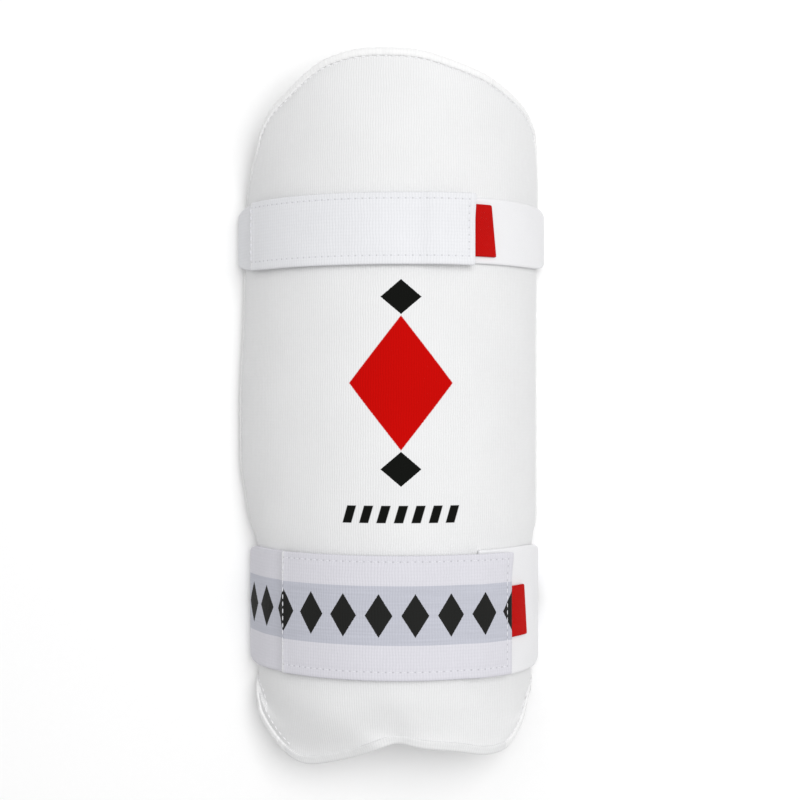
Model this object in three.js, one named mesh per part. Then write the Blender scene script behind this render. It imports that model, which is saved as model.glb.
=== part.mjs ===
// A cricket arm guard: a padded half-pipe shell that lies over the forearm, a band sewn round
// its rim, and two elastic straps, each with a hook strip and a pull tab at its free end.
// It lies on the flat back runs of its straps with the padded face up.
// Millimetres. +Z is up, +Y runs along the forearm to the domed end, and +X points to the side
// where the straps are sewn on. Seen from above, the left side is -X.

import {
  Box3, BufferGeometry, Group, MathUtils, Mesh, MeshStandardMaterial, Vector3,
} from 'three';

const { lerp, clamp, smoothstep } = MathUtils;

// The shell
const BODY_LENGTH = 227.6; // from the bottom corners to the top corners
const DOME_RISE = 25.8; // the dome's top above the top corners
const LOBE_DROP = 15.2; // the longer bottom lobe below the bottom corners
const LEFT_HALF = 62.8; // from the ridge to the left rim
const RIGHT_HALF = 54.8; // from the ridge to the right rim
const SHELL_DEPTH = 45; // from the ridge down to the rims
const PAD_THICKNESS = 9; // in the middle of the shell
const RIM_THICKNESS = 3; // where the covers are sewn together
const PAD_TAPER = 15; // how far in from the rim the pad reaches its full thickness
const RIM_DIP = 1.1; // how far the outer cover is pulled down at the rim seam
const RIM_DIP_REACH = 6; // how far in from the rim that pull reaches
const FOLD_DEPTH = 2.4; // the soft fold that runs in from the bottom notch
const FOLD_WIDTH = 6;
const FOLD_LENGTH = 32;
const FOLD_LEAN = 0.78; // how far the fold leans left for each millimetre that it runs in
const LOBE_CURL = 4.5; // how far the left lobe curls in at its end
const LOBE_CURL_REACH = 22;

// The band round the rim
const BAND_WIDTH = 2.4;
const BAND_THICKNESS = 3.2;

// The straps and what is on them
const UPPER_STRAP_WIDTH = 26.4;
const UPPER_STRAP_THICKNESS = 1.4;
const UPPER_STRAP_INSET = 40.3; // from the top corners down to the strap's middle
const LOWER_STRAP_WIDTH = 46;
const LOWER_STRAP_THICKNESS = 1.6;
const LOWER_STRAP_INSET = 42; // from the bottom corners up to the strap's middle
const HOOK_THICKNESS = 1.2;
const HOOK_EDGE = 2.8; // how far a hook strip stays inside the edges of its strap
const TAB_THICKNESS = 0.9;
const TAB_WIDTH = 19.4;
const TAB_TILT = 4; // degrees
const END_LIFT = 0.4; // how far a free end stands off
const SIDE_SLACK = 0.5; // how far a strap stands off the rim where it turns under
const RIM_HEIGHT = 6; // the rims above the surface that the straps lie on

const GAP = 0.3; // between pieces that touch

// How finely the pieces are stepped
const SHELL_STEPS_ACROSS = 36;
const SHELL_STEPS_ALONG = 40;
const STRAP_STEP = 3.6; // along a strap, over the shell
const TURN_STEPS = 6;
const BACK_STEPS = 5;
const EDGE_CROWDING = 0.62; // how far the shell's steps crowd towards its edges, from 0 to 1

// The top edge: across is the share of the half arc from the ridge, left negative, and rise is
// the share of DOME_RISE.
const TOP_EDGE = [
  { across: -1, rise: 0 },
  { across: -0.9, rise: 0.25 },
  { across: -0.75, rise: 0.47 },
  { across: -0.6, rise: 0.71 },
  { across: -0.45, rise: 0.89 },
  { across: -0.2, rise: 0.99 },
  { across: 0.05, rise: 0.97 },
  { across: 0.3, rise: 0.825 },
  { across: 0.5, rise: 0.685 },
  { across: 0.7, rise: 0.48 },
  { across: 0.87, rise: 0.28 },
  { across: 1, rise: 0.04 },
];

// The bottom edge, in the same way: drop is the share of LOBE_DROP.
const BOTTOM_EDGE = [
  { across: -1, drop: 0 },
  { across: -0.9, drop: 0.41 },
  { across: -0.82, drop: 0.66 },
  { across: -0.73, drop: 0.87 },
  { across: -0.62, drop: 1 },
  { across: -0.45, drop: 0.87 },
  { across: -0.27, drop: 0.63 },
  { across: -0.1, drop: 0.32 },
  { across: -0.02, drop: 0.23 },
  { across: 0.12, drop: 0.33 },
  { across: 0.4, drop: 0.46 },
  { across: 0.66, drop: 0.63 },
  { across: 0.82, drop: 0.57 },
  { across: 0.9, drop: 0.39 },
  { across: 1, drop: 0.03 },
];
const NOTCH_ACROSS = -0.02;
const LEFT_LOBE = { from: -0.04, full: -0.34 }; // where the curl of the left lobe begins and is full

// The shell's sections: along is the share of the way from the bottom edge to the top edge,
// left and right are shares of the two half widths, the depths and crown are shares of
// SHELL_DEPTH, and crown is how far the ridge lies below its highest.
const SECTIONS = [
  { along: 0, left: 0.948, leftDepth: 0.62, right: 0.875, rightDepth: 0.56, crown: 0.05 },
  { along: 0.035, left: 0.968, leftDepth: 0.76, right: 0.93, rightDepth: 0.72, crown: 0.03 },
  { along: 0.06, left: 0.955, leftDepth: 1, right: 0.976, rightDepth: 1, crown: 0 },
  { along: 0.077, left: 0.928, leftDepth: 1, right: 0.965, rightDepth: 1, crown: 0 },
  { along: 0.297, left: 0.928, leftDepth: 1, right: 0.965, rightDepth: 1, crown: 0 },
  { along: 0.325, left: 0.982, leftDepth: 1, right: 1.01, rightDepth: 1, crown: 0 },
  { along: 0.37, left: 1.005, leftDepth: 1, right: 1.003, rightDepth: 1, crown: 0 },
  { along: 0.44, left: 1.04, leftDepth: 1, right: 1.003, rightDepth: 1, crown: 0 },
  { along: 0.54, left: 1.04, leftDepth: 1, right: 1.003, rightDepth: 1, crown: 0 },
  { along: 0.67, left: 1.02, leftDepth: 1, right: 1.003, rightDepth: 1, crown: 0 },
  { along: 0.89, left: 1, leftDepth: 1, right: 1.016, rightDepth: 1, crown: 0 },
  { along: 0.92, left: 0.975, leftDepth: 0.86, right: 1.012, rightDepth: 0.98, crown: 0.005 },
  { along: 0.957, left: 0.926, leftDepth: 0.73, right: 1.003, rightDepth: 0.92, crown: 0.01 },
  { along: 1, left: 0.885, leftDepth: 0.62, right: 0.985, rightDepth: 0.82, crown: 0.02 },
];

// The two straps. Places on the front are shares of the half arc from the ridge, and the
// strap's width at the front, the back and the sewn end is a share of its full width.
const STRAPS = [
  {
    name: 'upper',
    middleY: BODY_LENGTH / 2 - UPPER_STRAP_INSET,
    width: UPPER_STRAP_WIDTH,
    thickness: UPPER_STRAP_THICKNESS,
    sewnEnd: 0.18,
    freeEnd: 0.347,
    hookFrom: -0.79,
    hookTo: 0.31,
    tabFrom: 0.325,
    tabTo: 0.47,
    backShare: 0.94,
    sewnShare: 0.92,
  },
  {
    name: 'lower',
    middleY: LOWER_STRAP_INSET - BODY_LENGTH / 2,
    width: LOWER_STRAP_WIDTH,
    thickness: LOWER_STRAP_THICKNESS,
    sewnEnd: 0.4,
    freeEnd: 0.571,
    hookFrom: -0.593,
    hookTo: 0.53,
    tabFrom: 0.55,
    tabTo: 0.736,
    backShare: 1.03,
    sewnShare: 1.05,
  },
];
// More places on the front, as shares of the half arc.
const RAMP = 0.1; // over which a strap climbs onto what is under it
const RAMP_TOP = 0.0125; // the last part of that, which is level
const LEFT_SLACK_FROM = 0.88; // from where the free run stands off the left side
const RIGHT_SLACK_FROM = 0.75; // from where the sewn run stands off the right side
const NARROWING_FROM = 0.7; // from where the free run takes the width of the back run
const EDGE_ROUND = 0.25; // how far a ribbon's edge bulges, as a share of its thickness

const MATERIALS = {
  cover: { color: 0xf1f0ec, roughness: 0.85, metalness: 0 },
  elastic: { color: 0xeeeef2, roughness: 0.8, metalness: 0 },
  hook: { color: 0xe6e6ea, roughness: 0.7, metalness: 0 },
  ribbon: { color: 0xb40c06, roughness: 0.75, metalness: 0 },
};

// A smooth curve through the rows of a table, which stays between neighbouring rows.
function curveThrough(table, key, column) {
  const at = table.map((row) => row[key]);
  const value = table.map((row) => row[column]);
  const slope = at.slice(1).map((x, i) => (value[i + 1] - value[i]) / (x - at[i]));
  const tangent = at.map((_, i) => {
    if (i === 0 || i === slope.length) return slope[Math.min(i, slope.length - 1)];
    const [before, after] = [slope[i - 1], slope[i]];
    return before * after <= 0 ? 0 : (2 * before * after) / (before + after);
  });
  return (x) => {
    const here = clamp(x, at[0], at[at.length - 1]);
    const i = Math.max(0, at.findIndex((a) => a >= here) - 1);
    const step = at[i + 1] - at[i];
    const u = (here - at[i]) / step;
    const bend = step * u * (1 - u) * (tangent[i] * (1 - u) - tangent[i + 1] * u);
    return value[i] * (1 + 2 * u) * (1 - u) ** 2 + value[i + 1] * (3 - 2 * u) * u ** 2 + bend;
  };
}

const topRise = curveThrough(TOP_EDGE, 'across', 'rise');
const bottomDrop = curveThrough(BOTTOM_EDGE, 'across', 'drop');
const section = {};
for (const column of ['left', 'leftDepth', 'right', 'rightDepth', 'crown']) {
  section[column] = curveThrough(SECTIONS, 'along', column);
}

function topY(across) {
  return BODY_LENGTH / 2 + DOME_RISE * topRise(across);
}

function bottomY(across) {
  return -BODY_LENGTH / 2 - LOBE_DROP * bottomDrop(across);
}

// The arc from the ridge to the rim on the left (side < 0) or the right.
function arcAt(side, along) {
  const dip = section.crown(along) * SHELL_DEPTH;
  const half = side < 0 ? LEFT_HALF * section.left(along) : RIGHT_HALF * section.right(along);
  const depth = SHELL_DEPTH * (side < 0 ? section.leftDepth(along) : section.rightDepth(along)) - dip;
  const radius = (half ** 2 + depth ** 2) / (2 * depth);
  const sweep = Math.atan2(half, radius - depth);
  return { radius, sweep, crownZ: RIM_HEIGHT + SHELL_DEPTH - dip };
}

function arcUnder(across, y) {
  const along = (y - bottomY(across)) / (topY(across) - bottomY(across));
  return arcAt(across, clamp(along, 0, 1));
}

// The point at a share of the half arc, offset outwards from the shell's outer face.
function arcPoint(across, y, offset) {
  const arc = arcUnder(across, y);
  const angle = across * arc.sweep;
  const reach = arc.radius + offset;
  return new Vector3(reach * Math.sin(angle), y, arc.crownZ - arc.radius + reach * Math.cos(angle));
}

// A geometry whose faces point outwards, whichever way round they were listed.
function closedGeometry(points, faces) {
  let volume = 0;
  for (let i = 0; i < faces.length; i += 3) {
    const [a, b, c] = faces.slice(i, i + 3).map((index) => points[index]);
    volume += a.dot(b.clone().cross(c));
  }
  const geometry = new BufferGeometry().setFromPoints(points);
  geometry.setIndex(volume < 0 ? faces.toReversed() : faces);
  geometry.computeVertexNormals();
  return geometry;
}

// A closed body through rings of points. Each ring runs out along one face and back along the
// other, so an end is closed by a strip between the two halves of its ring.
function loft(rings, isLoop) {
  const count = rings[0].length;
  const faces = [];
  for (let i = 0; i < rings.length - (isLoop ? 0 : 1); i += 1) {
    const next = (i + 1) % rings.length;
    for (let j = 0; j < count; j += 1) {
      const beside = (j + 1) % count;
      const [a, b, c, d] = [i * count + j, i * count + beside, next * count + beside, next * count + j];
      faces.push(a, b, c, a, c, d);
    }
  }
  if (!isLoop) {
    const end = (rings.length - 1) * count;
    for (let j = 0; j < count / 2 - 1; j += 1) {
      const [a, b, c, d] = [j, j + 1, count - 2 - j, count - 1 - j];
      faces.push(a, c, b, a, d, c, end + a, end + b, end + c, end + a, end + c, end + d);
    }
  }
  return closedGeometry(rings.flat(), faces);
}

// Shares from -1 to 1 that lie closer together towards both ends.
function closerAtEnds(step, steps) {
  const even = (2 * step) / steps - 1;
  return lerp(even, Math.sin((even * Math.PI) / 2), EDGE_CROWDING);
}

function roundedShare(distance, reach) {
  return Math.sin((Math.PI / 2) * clamp(distance / reach, 0, 1));
}

// How far the cover lies under its plain arc, from the fold and the curled lobe at the bottom.
function bottomRelief(across, y) {
  const up = y - bottomY(across);
  const arc = arcUnder(across, y);
  const fromNotch = (across - NOTCH_ACROSS) * arc.radius * arc.sweep;
  const fold = FOLD_DEPTH * Math.exp(-(((fromNotch + FOLD_LEAN * up) / FOLD_WIDTH) ** 2));
  const lobe = smoothstep(-across, -LEFT_LOBE.from, -LEFT_LOBE.full);
  const curl = LOBE_CURL * lobe * (1 - smoothstep(up, 0, LOBE_CURL_REACH));
  return fold * (1 - smoothstep(up, 0, FOLD_LENGTH)) + curl;
}

// The shell's outer and inner points at a share across and a share along.
function wallAt(across, along) {
  const y = lerp(bottomY(across), topY(across), along);
  const arc = arcUnder(across, y);
  const toSide = (1 - Math.abs(across)) * arc.sweep * arc.radius;
  const toEnd = Math.min(topY(across) - y, y - bottomY(across));
  const full = roundedShare(toSide, PAD_TAPER) * roundedShare(toEnd, PAD_TAPER);
  const level = roundedShare(toSide, RIM_DIP_REACH) * roundedShare(toEnd, RIM_DIP_REACH);
  const under = bottomRelief(across, y) + RIM_DIP * (1 - level);
  const thickness = lerp(RIM_THICKNESS, PAD_THICKNESS, full);
  return [arcPoint(across, y, -under), arcPoint(across, y, -under - thickness)];
}

function acrossShares() {
  const steps = SHELL_STEPS_ACROSS;
  return Array.from({ length: steps + 1 }, (_, i) => closerAtEnds(i, steps));
}

function alongShares() {
  const steps = SHELL_STEPS_ALONG;
  return Array.from({ length: steps + 1 }, (_, i) => (closerAtEnds(i, steps) + 1) / 2);
}

function padShell() {
  const rings = alongShares().map((along) => {
    const walls = acrossShares().map((across) => wallAt(across, along));
    return [...walls.map((wall) => wall[0]), ...walls.map((wall) => wall[1]).toReversed()];
  });
  return loft(rings, false);
}

// Once round the rim, as pairs of shares across and along: bottom, right, top, left.
function rimLoop() {
  const bottom = acrossShares().map((across) => [across, 0]);
  const right = alongShares().map((along) => [1, along]);
  const top = acrossShares().map((across) => [across, 1]).toReversed();
  const left = alongShares().map((along) => [-1, along]).toReversed();
  return [bottom, right, top, left].flatMap((side) => side.slice(0, -1));
}

// A band that follows the rim wall of the shell, a gap outside it. In its section, out is the
// share of BAND_WIDTH away from the wall and up is the share of half its thickness.
const BAND_SECTION = [
  { out: 0, up: -1 },
  { out: 0.6, up: -0.95 },
  { out: 1, up: -0.4 },
  { out: 1, up: 0.4 },
  { out: 0.6, up: 0.95 },
  { out: 0, up: 1 },
];

function edgeBinding() {
  const walls = rimLoop().map(([across, along]) => wallAt(across, along));
  const middles = walls.map(([outer, inner]) => outer.clone().lerp(inner, 0.5));
  const rings = walls.map(([outer, inner], i) => {
    const before = middles[(i + middles.length - 1) % middles.length];
    const after = middles[(i + 1) % middles.length];
    const up = outer.clone().sub(inner).normalize();
    const outwards = after.clone().sub(before).cross(up).normalize();
    return BAND_SECTION.map((corner) => middles[i].clone()
      .addScaledVector(outwards, GAP + corner.out * BAND_WIDTH)
      .addScaledVector(up, (corner.up * BAND_THICKNESS) / 2));
  });
  return loft(rings, true);
}

// How high the faces of a strap's layers lie above the shell.
function sewnOffset(across) {
  return GAP + SIDE_SLACK * smoothstep(across, RIGHT_SLACK_FROM, 1);
}

function hookOffset(strap, across) {
  const overSewn = smoothstep(across, strap.sewnEnd - RAMP, strap.sewnEnd - RAMP_TOP);
  return GAP + overSewn * (strap.thickness + GAP);
}

function freeOffset(strap, across) {
  const overHook = smoothstep(across, strap.hookFrom - RAMP, strap.hookFrom - RAMP_TOP);
  const slack = SIDE_SLACK * smoothstep(-across, LEFT_SLACK_FROM, 1) * (1 - overHook);
  const lift = END_LIFT * smoothstep(across, strap.freeEnd - RAMP, strap.freeEnd);
  return hookOffset(strap, across) + overHook * (HOOK_THICKNESS + GAP) + slack + lift;
}

function tabOffset(strap, across) {
  return sewnOffset(across) + strap.thickness + GAP;
}

// Shares across from one place on the shell to another, about one strap step apart.
function sharesBetween(from, to, y) {
  const arc = arcUnder(from + to, y);
  const steps = Math.ceil((Math.abs(to - from) * arc.radius * arc.sweep) / STRAP_STEP);
  return Array.from({ length: steps + 1 }, (_, i) => lerp(from, to, i / steps));
}

// A stretch over the shell: each station places a point by its y and its depth in the layer.
function overShell(from, to, y, offsetAt, share) {
  return sharesBetween(from, to, y).map((across) => ({
    share: share(across),
    place: (atY, depth) => arcPoint(across, atY, offsetAt(across) + depth),
  }));
}

// The circle that a strap turns round, from the shell's rim to its flat back run.
function turnCircle(side, y, offset, thickness) {
  const arc = arcUnder(side, y);
  const start = arcPoint(side, y, offset);
  const radius = (start.z - thickness) / (1 + Math.cos(arc.sweep));
  const centreX = start.x - side * radius * Math.sin(arc.sweep);
  return { radius, centreX, centreZ: thickness + radius, from: arc.sweep };
}

function roundRim(side, strap, offset, share) {
  return Array.from({ length: TURN_STEPS + 1 }, (_, i) => ({
    share,
    place: (y, depth) => {
      const circle = turnCircle(side, y, offset, strap.thickness);
      const angle = lerp(circle.from, Math.PI, i / TURN_STEPS);
      const reach = circle.radius + depth;
      const x = circle.centreX + side * reach * Math.sin(angle);
      return new Vector3(x, y, circle.centreZ + reach * Math.cos(angle));
    },
  }));
}

function acrossBack(strap, leftOffset, rightOffset) {
  return Array.from({ length: BACK_STEPS - 1 }, (_, i) => ({
    share: strap.backShare,
    place: (y, depth) => {
      const left = turnCircle(-1, y, leftOffset, strap.thickness).centreX;
      const right = turnCircle(1, y, rightOffset, strap.thickness).centreX;
      return new Vector3(lerp(left, right, (i + 1) / BACK_STEPS), y, strap.thickness - depth);
    },
  }));
}

// A ribbon through stations, with slightly rounded edges. Each station has its share of the width.
function ribbon(stations, middleY, width, thickness) {
  const rings = stations.map(({ place, share }) => {
    const [low, high] = [middleY - (width * share) / 2, middleY + (width * share) / 2];
    const round = thickness * EDGE_ROUND;
    return [
      place(low, 0),
      place(high, 0),
      place(high + round, thickness / 2),
      place(high, thickness),
      place(low, thickness),
      place(low - round, thickness / 2),
    ];
  });
  return loft(rings, false);
}

function elasticStrap(strap) {
  const { middleY, backShare, sewnShare } = strap;
  const [leftOffset, rightOffset] = [freeOffset(strap, -1), sewnOffset(1)];
  const frontShare = (across) => lerp(1, backShare, smoothstep(-across, NARROWING_FROM, 1));
  const stations = [
    ...overShell(strap.freeEnd, -1, middleY, (across) => freeOffset(strap, across), frontShare),
    ...roundRim(-1, strap, leftOffset, backShare).slice(1),
    ...acrossBack(strap, leftOffset, rightOffset),
    ...roundRim(1, strap, rightOffset, sewnShare).toReversed().slice(0, -1),
    ...overShell(1, strap.sewnEnd, middleY, sewnOffset, () => sewnShare),
  ];
  return ribbon(stations, middleY, strap.width, strap.thickness);
}

function hookPatch(strap) {
  const offsetAt = (across) => hookOffset(strap, across);
  const stations = overShell(strap.hookFrom, strap.hookTo, strap.middleY, offsetAt, () => 1);
  return ribbon(stations, strap.middleY, strap.width - 2 * HOOK_EDGE, HOOK_THICKNESS);
}

function pullTab(strap) {
  const { middleY } = strap;
  const arc = arcUnder(1, middleY);
  const slant = Math.tan(MathUtils.degToRad(TAB_TILT)) / (arc.radius * arc.sweep);
  const stations = sharesBetween(strap.tabFrom, strap.tabTo, middleY).map((across) => ({
    share: 1,
    place: (y, depth) => {
      const slanted = across - slant * (y - middleY);
      return arcPoint(slanted, y, tabOffset(strap, slanted) + depth);
    },
  }));
  return ribbon(stations, middleY, TAB_WIDTH, TAB_THICKNESS);
}

function piece(name, geometry, material) {
  const mesh = new Mesh(geometry, new MeshStandardMaterial(MATERIALS[material]));
  mesh.name = name;
  return mesh;
}

const armGuard = new Group();
armGuard.add(piece('pad_shell', padShell(), 'cover'));
armGuard.add(piece('edge_binding', edgeBinding(), 'cover'));
for (const strap of STRAPS) {
  armGuard.add(piece(`${strap.name}_strap`, elasticStrap(strap), 'elastic'));
  armGuard.add(piece(`${strap.name}_hook_patch`, hookPatch(strap), 'hook'));
  armGuard.add(piece(`${strap.name}_pull_tab`, pullTab(strap), 'ribbon'));
}

// The origin is the middle of the footprint, on the surface that the guard lies on.
const reach = new Box3().setFromObject(armGuard, true);
const middle = reach.getCenter(new Vector3());
armGuard.position.set(-middle.x, -middle.y, -reach.min.z);

export default armGuard;
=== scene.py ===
"""Dresses a cricket arm guard: knitted cover, rolled rim, elastic straps, tabs and stitching."""

import math

import bmesh
import bpy
import numpy as np
from bpy.props import FloatProperty, FloatVectorProperty, IntProperty, PointerProperty
from mathutils import Matrix, Vector, noise
from mathutils.bvhtree import BVHTree
from mathutils.kdtree import KDTree


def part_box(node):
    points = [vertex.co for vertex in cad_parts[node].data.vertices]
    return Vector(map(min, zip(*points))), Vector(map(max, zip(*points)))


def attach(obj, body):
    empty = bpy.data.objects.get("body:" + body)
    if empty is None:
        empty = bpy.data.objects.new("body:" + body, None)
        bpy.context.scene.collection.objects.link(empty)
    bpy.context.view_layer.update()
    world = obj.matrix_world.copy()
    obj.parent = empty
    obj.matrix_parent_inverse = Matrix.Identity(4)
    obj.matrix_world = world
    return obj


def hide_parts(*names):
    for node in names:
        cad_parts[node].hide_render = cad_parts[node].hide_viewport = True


bl_info = {
    "name": "Cricket Arm Guard",
    "version": (1, 0, 0),
    "blender": (4, 5, 0),
    "location": "3D View > Sidebar > Arm Guard",
    "description": "Builds the cloth pieces, the stitching and the stage of a padded arm guard",
    "category": "Object",
}

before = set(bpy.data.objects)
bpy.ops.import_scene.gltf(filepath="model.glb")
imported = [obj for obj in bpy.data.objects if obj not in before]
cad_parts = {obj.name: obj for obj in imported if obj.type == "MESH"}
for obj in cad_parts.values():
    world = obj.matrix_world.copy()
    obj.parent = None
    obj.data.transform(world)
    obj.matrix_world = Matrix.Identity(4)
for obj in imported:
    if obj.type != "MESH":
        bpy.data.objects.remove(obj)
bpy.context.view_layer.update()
UV_NAME = "cloth"
STRAPS = ("upper", "lower")
PHOTO_VIEW_DEGREES = 28.9
SENSOR_WIDTH = 36
GUARD_MIDDLE = (0, 0, 0.03)
RIM_STEP = 0.001
CORNER = math.radians(50)
HOLE_HALF = 0.0004

# How far along a ribbon the points lie that give its width at a place
WIDTH_REACH = 0.003

# Where the seam along the bottom edge goes out of sight, each as the start and the end of the change
HIDDEN_FROM_LEFT = (-0.046, -0.036)
HIDDEN_TO_RIGHT = (0.040, 0.048)
HIDDEN_BELOW = (0.108, 0.116)

# The crease that runs in from the notch
CREASE_START = np.array([0.0015, -0.125])
CREASE_WAY = np.array([-0.893, 0.449])
CREASE_FADE_IN = (-0.006, 0.002)

# How far in from the rim the cover is held, puckered and free
HELD_AT_RIM = (0.003, 0.014)
PUCKERS_FROM = (0.0008, 0.0025)
WAVES_FROM = (0.003, 0.02)

# How far a face looks out from the middle of the guard, each from none of the effect to all of it
OUTER_FACES = (0.2, 0.6)
TUCKED_FACES = (0.3, 0.8)
RAISED_FACES = (-0.2, 0.6)
INNER_FACES = -0.2
LINING_FACES = -0.3

# How far past a strap's edge the cover is still pressed in whole
STRAP_MARGIN = 0.0004

# How the pad is blown up
PAD_PRESSURE = 5
PAD_STIFFNESS = 12
PAD_FRAMES = 20


def length(name, description, default):
    """A size in metres that a user may change."""
    return FloatProperty(name=name, description=description, default=default, precision=5, unit="LENGTH")


def share(name, description, default):
    """A share or strength without a unit."""
    return FloatProperty(name=name, description=description, default=default, precision=3)


def color(name, description, default):
    """A linear colour."""
    return FloatVectorProperty(
        name=name, description=description, default=default, size=3, min=0, max=1, subtype="COLOR"
    )


class CoverSettings(bpy.types.PropertyGroup):
    """The padded shell and its fabric."""

    swell: length("Swell", "How far the pad may swell between what holds it", 0.0011)
    press: length("Press", "How far a strap presses the cover in", 0.0001)
    release: length("Release", "How far from a strap the cover is back at its full height", 0.009)
    groove: length("Groove", "How deep the seam inside the rim band is pulled in", 0.00018)
    groove_reach: length("Groove reach", "How far from the rim the seam pulls the cover", 0.0016)
    lobe_drop: length("Lobe drop", "How much further the left lobe curls down", 0.0045)
    lobe_reach: length("Lobe reach", "How far from the crease the lobe is fully down", 0.024)
    crease: length("Crease", "Depth of the crease that runs in from the notch", 0.0011)
    crease_width: length("Crease width", "Half width of the crease", 0.0035)
    crease_length: length("Crease length", "How far the crease runs in", 0.02)
    dip: length("Dip", "How far the dip beside the rim is filled up along the bottom edge", 0.0011)
    dip_reach: length("Dip reach", "How far from the rim that dip reaches", 0.006)
    edge_crease: share("Edge crease", "How sharp the cover's edges stay when it is smoothed", 0.55)
    pucker: length("Pucker", "Height of the small puckers along the rim seam", 0.00022)
    pucker_length: length("Pucker length", "Length of those puckers along the seam", 0.0075)
    pucker_reach: length("Pucker reach", "How far the puckers run in from the seam", 0.005)
    wave: length("Wave", "Height of the slight unevenness of the foam", 0.00028)
    wave_length: length("Wave length", "Width of that unevenness", 0.028)
    lining_share: share("Lining share", "How much of the cover's relief the lining has, turned in", 0.6)
    rib: length("Rib", "Width of a knitted rib of the cover", 0.00096)
    white: color("Cover white", "Colour of the knitted cover", (0.78, 0.782, 0.786))
    lining: color("Lining white", "Colour of the brushed lining", (0.70, 0.70, 0.71))


class RimSettings(bpy.types.PropertyGroup):
    """The rolled band round the rim."""

    swell: length("Swell", "How far the band's filling pushes it out", 0.00022)
    tuck: length("Tuck", "How far the band reaches under the cover's edge", 0.0009)
    hidden_tuck: length("Hidden tuck", "How much further it reaches along the bottom edge", 0.0005)
    flush: length("Flush", "How far the band rises to meet the cover along the bottom edge", 0.0009)
    pinch: length("Pinch", "How far each stitch pinches the band", 0.0001)
    white: color("Band white", "Colour of the band", (0.86, 0.86, 0.86))


class StrapSettings(bpy.types.PropertyGroup):
    """The elastic straps, their hook strips and their tabs."""

    cell: length("Cell", "Size of a strap's mesh cells before they are smoothed", 0.00125)
    turn_narrowing: length("Turn narrowing", "How much narrower each half is at the turns", 0.0026)
    turn_reach: length("Turn reach", "How far from a turn that narrowing reaches", 0.0055)
    turn_bluntness: length("Turn bluntness", "How far round a turn it is narrowest", 0.0015)
    back_narrowing: length("Back narrowing", "How much narrower each half is over the back", 0.0012)
    ridge: length("Ridge", "Height of the ridge at the far end of the hook strip", 0.0006)
    ridge_from: length("Ridge place", "How far beyond the stitches that ridge lies", 0.0003)
    ridge_half: length("Ridge half", "Half the width of that ridge", 0.0010)
    hem_top: length("Top stitch inset", "From the upper edge down to the stitches", 0.0024)
    hem_bottom: length("Bottom stitch inset", "From the lower edge up to the stitches", 0.0034)
    hem_end: length("End stitch inset", "From the free end back to the stitches", 0.0028)
    hem_width_at: length("Hem place", "How far from the free end the strap's width is taken", 0.02)
    hem_depth: length("Stitch depth", "How deep the stitches press the webbing", 0.00022)
    hem_width: length("Stitch groove", "Half width of the groove that they press", 0.0007)
    hem_overrun: length("Stitch overrun", "How far the grooves run past the box's corners", 0.001)
    step_length: length("Step length", "Length of the drop beyond the hook strip", 0.0042)
    step_depth: length("Step depth", "How much steeper that drop is made", 0.00065)
    corner_lift: length("Corner lift", "How far the upper free corner stands off", 0.0011)
    corner_reach: length("Corner reach", "How far that lift runs back", 0.011)
    rib: length("Rib", "Width of a rib across the webbing", 0.00112)
    yarn: length("Yarn", "Spacing of the lengthwise yarns", 0.00125)
    white: color("Webbing white", "Colour of the webbing", (0.765, 0.77, 0.795))
    wide_white: color("Wide webbing white", "Colour of the wide webbing", (0.672, 0.665, 0.715))
    pile_white: color("Pile white", "Colour of the soft pile", (0.825, 0.825, 0.84))
    band: color("Woven band grey", "Colour of the band woven into the wide strap", (0.50, 0.51, 0.575))
    # The needle hole grey is painted shade in the holes.
    hole: color("Needle hole grey", "Colour of a needle hole", (0.12, 0.12, 0.13))
    hole_shade_share: share("Needle hole share", "How much a needle hole darkens the webbing", 0.32)
    band_half: length("Woven band half", "Half the width of that band", 0.0112)
    band_rise: length("Woven band rise", "How far that band lies above the strap's middle", 0.001)
    tab_tilt: FloatProperty(
        name="Tab tilt", description="How far the tabs lean", default=math.radians(6.5), subtype="ANGLE"
    )
    hook_cell: length("Hook cell", "Size of a hook strip's mesh cells", 0.003)
    tab_cell: length("Tab cell", "Size of a tab's mesh cells", 0.0011)
    herringbone: length("Herringbone", "Width of a row of the tabs' herringbone", 0.0016)
    twill: length("Twill", "Spacing of the slanted lines in those rows", 0.0008)
    red: color("Tab red", "Colour of the pull tabs", (0.60, 0.004, 0.003))


class MotifSettings(bpy.types.PropertyGroup):
    """The plain lozenges and dashes, all sizes on the flat cloth."""

    red: color("Print red", "Colour of the large printed lozenge", (0.53, 0.002, 0.001))
    black: color("Print black", "Colour of the small printed shapes", (0.006, 0.0065, 0.0055))
    large_half: length("Large half width", "Half the width of the large lozenge", 0.0200)
    large_rise: length("Large half height", "Half the height of the large lozenge", 0.0255)
    small_half: length("Small half width", "Half the width of a small lozenge", 0.0078)
    small_rise: length("Small half height", "Half the height of a small lozenge", 0.0066)
    middle_y: length("Print middle", "Place of the large lozenge along the guard", 0.0107)
    gap: length("Gap", "Clear space between the lozenges", 0.0002)
    dash_y: length("Dash row", "Place of the row of dashes along the guard", -0.0385)
    dash_pitch: length("Dash pitch", "Spacing of the dashes", 0.0066)
    dash_half: length("Dash half width", "Half the width of a dash", 0.0019)
    dash_rise: length("Dash half height", "Half the height of a dash", 0.0034)
    dash_count: IntProperty(name="Dashes", description="How many dashes the row has", default=7)
    dash_slant: share("Dash slant", "How far a dash leans for its height", 0.3)
    woven_half: length("Woven half width", "Half the width of a woven lozenge", 0.0052)
    woven_rise: length("Woven half height", "Half the height of a woven lozenge", 0.0082)
    woven_pitch: length("Woven pitch", "Spacing of the woven lozenges", 0.0136)


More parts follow.
